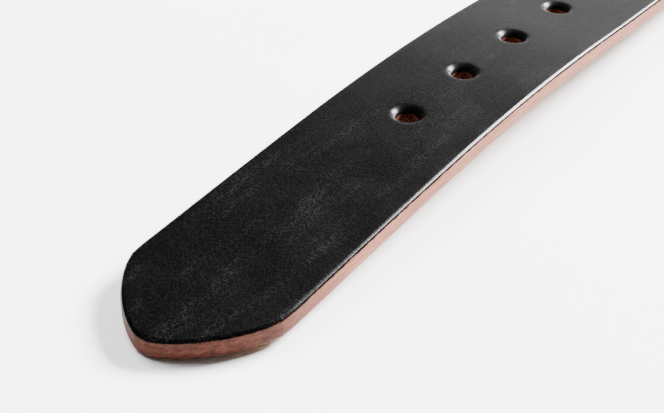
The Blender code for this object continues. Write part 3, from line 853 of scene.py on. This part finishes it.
def polished_metal(name, color, scratches, base_rough):
    """Metal with rubbed hairlines and faint wear."""
    n = Nodes(name, metallic=1.0)
    place = n.object_place()
    hairlines = (scratches, scratches * 0.12, scratches)
    hair = n.stretched_noise(place, hairlines, 3.0, 0.6)
    wear = n.noise(place, 220.0, 4.0, 0.6)
    worn = [channel * 0.93 for channel in color]
    tone = n.mix(wear, rgb(*worn), rgb(*color))
    rough = n.ramp(wear, 0.3, 0.7, base_rough, base_rough + 0.06)
    return n.finish(tone, rough, n.math("ADD", hair, wear), 0.012 * MM, 0.35)


def waxed_thread():
    """Twisted waxed thread."""
    n = Nodes("waxed_thread", specular=0.4)
    place = n.object_place()
    inputs = {"Vector": place, "Scale": 900.0, "Distortion": 1.5}
    twist = n.node("ShaderNodeTexWave", inputs=inputs, bands_direction="DIAGONAL")
    fuzz = n.noise(place, 6000.0)
    color = n.mix(twist, *THREAD_TONES)
    return n.finish(color, n.ramp(fuzz, 0.3, 0.7, 0.5, 0.7), twist, 0.08 * MM)


def table_finish():
    """A plain pale table top."""
    n = Nodes("table_top", specular=0.15)
    place = n.object_place()
    grain = n.noise(place, 30.0, 3.0)
    color = n.mix(grain, *TABLE_TONES)
    return n.finish(color, n.ramp(grain, 0.3, 0.7, 0.6, 0.7), grain, 0.02 * MM, 0.2)


# ---------------------------------------------------------------- studio

FLOOR_HALF_SIZE = 6.0
WORLD_COLOR = rgb(1.0, 0.99, 0.985)
WORLD_STRENGTH = 0.12
LIGHT_AIM = Vector((0.1, 0.0, 0.0))  # from the strap's point
# Each light's place from its aim, size, power in watts, and whether glossy leather mirrors it.
LIGHTS = {
    "key": ((1.71, -0.62, 1.23), (1.0, 0.8), 540.0, True),
    "overhead": ((0.1, 1.25, 2.1), (1.8, 1.8), 165.0, False),
    "back": ((2.25, 0.91, 0.65), (1.6, 0.6), 8.0, True),
}

CAMERA_AZIMUTH = math.radians(32.30)
CAMERA_ELEVATION = math.radians(31.93)
CAMERA_ROLL = math.radians(3.25)
CAMERA_DISTANCE = 314.4 * MM
CAMERA_TARGET = Vector((61.8, -2.2, 0.0)) * MM  # from the strap's point
CAMERA_LENS = 79.3
CAMERA_SENSOR = 36.0


def soft_light(name, aim):
    """A rectangular light, turned towards its aim."""
    place, size, power, mirrored = LIGHTS[name]
    data = bpy.data.lights.new(name, "AREA")
    data.shape = "RECTANGLE"
    data.size = size[0]
    data.size_y = size[1]
    data.energy = power
    light = bpy.data.objects.new(name, data)
    light.location = aim + Vector(place)
    light.rotation_euler = (-Vector(place)).to_track_quat("-Z", "Y").to_euler()
    light.visible_glossy = mirrored
    bpy.context.scene.collection.objects.link(light)


def make_world():
    """Even faint light from all round."""
    world = bpy.data.worlds.new("studio")
    world.use_nodes = True
    background = world.node_tree.nodes["Background"]
    background.inputs["Color"].default_value = WORLD_COLOR
    background.inputs["Strength"].default_value = WORLD_STRENGTH
    bpy.context.scene.world = world


def make_floor(material):
    """The table that the belt lies on."""
    size = FLOOR_HALF_SIZE
    corners = [(-size, -size, 0.0), (size, -size, 0.0), (size, size, 0.0), (-size, size, 0.0)]
    floor = mesh_object("table_top", corners, [(0, 1, 2, 3)], material)


def make_camera(tip):
    """Three-quarter view down onto the strap's point."""
    level = math.cos(CAMERA_ELEVATION)
    back_x = -math.cos(CAMERA_AZIMUTH) * level
    back_y = -math.sin(CAMERA_AZIMUTH) * level
    back = Vector((back_x, back_y, math.sin(CAMERA_ELEVATION)))
    right = (-back).cross(Vector((0.0, 0.0, 1.0))).normalized()
    up = back.cross(right)
    turned_right = right * math.cos(CAMERA_ROLL) + up * math.sin(CAMERA_ROLL)
    turned_up = up * math.cos(CAMERA_ROLL) - right * math.sin(CAMERA_ROLL)
    turn = Matrix((turned_right, turned_up, back)).transposed().to_4x4()
    data = bpy.data.cameras.new("camera")
    data.lens = CAMERA_LENS
    data.sensor_width = CAMERA_SENSOR
    data.clip_start = 10.0 * MM
    camera = bpy.data.objects.new("camera", data)
    bpy.context.scene.collection.objects.link(camera)
    camera.matrix_world = Matrix.Translation(tip + CAMERA_TARGET + back * CAMERA_DISTANCE) @ turn
    bpy.context.scene.camera = camera


# ---------------------------------------------------------------- assembly


def carry_over(frame, node, material):
    """Shows a CAD node as it is, with a finish of its own."""
    obj = frame["nodes"][node]
    obj.data.materials.clear()
    obj.data.materials.append(material)


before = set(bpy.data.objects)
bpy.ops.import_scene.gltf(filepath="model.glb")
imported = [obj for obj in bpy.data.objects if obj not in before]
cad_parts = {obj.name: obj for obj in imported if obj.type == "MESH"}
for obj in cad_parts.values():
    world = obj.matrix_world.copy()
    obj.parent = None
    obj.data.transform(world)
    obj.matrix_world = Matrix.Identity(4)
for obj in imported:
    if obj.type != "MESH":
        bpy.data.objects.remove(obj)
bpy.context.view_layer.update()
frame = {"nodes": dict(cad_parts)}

stations = route()
strap_low, strap_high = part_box("strap")
over_bar = station_at(stations, FOLD_START)[0]
tip = Vector((strap_low.x, strap_high.y - HALF_WIDTH, GRAIN_HEIGHT - over_bar.z))

black = Leather("black_leather").finished()
strap = make_strap(stations, tip, black)
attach(strap, "belt")
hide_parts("strap")

loop_low, loop_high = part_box("keeper_loop")
loop_middle = (loop_low + loop_high) / 2
keeper = make_keeper(Vector((loop_middle.x, loop_middle.y, loop_low.z)), black)
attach(keeper, "keeper")
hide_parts("keeper_loop")

nickel = polished_metal("nickel_plate", NICKEL_TONE, scratches=900.0, base_rough=0.12)
steel = polished_metal("plain_steel", STEEL_TONE, scratches=500.0, base_rough=0.25)
thread = waxed_thread()
for number in range(1, 5):
    carry_over(frame, f"screw_post_{number}", nickel)
    carry_over(frame, f"screw_{number}", nickel)
for node in ("buckle_frame", "prong"):
    carry_over(frame, node, nickel)
carry_over(frame, "buckle_bar", steel)
for number in range(1, 4):
    carry_over(frame, f"keeper_stitch_{number}", thread)

make_world()
make_floor(table_finish())
make_camera(tip)
for name in LIGHTS:
    soft_light(name, tip + LIGHT_AIM)
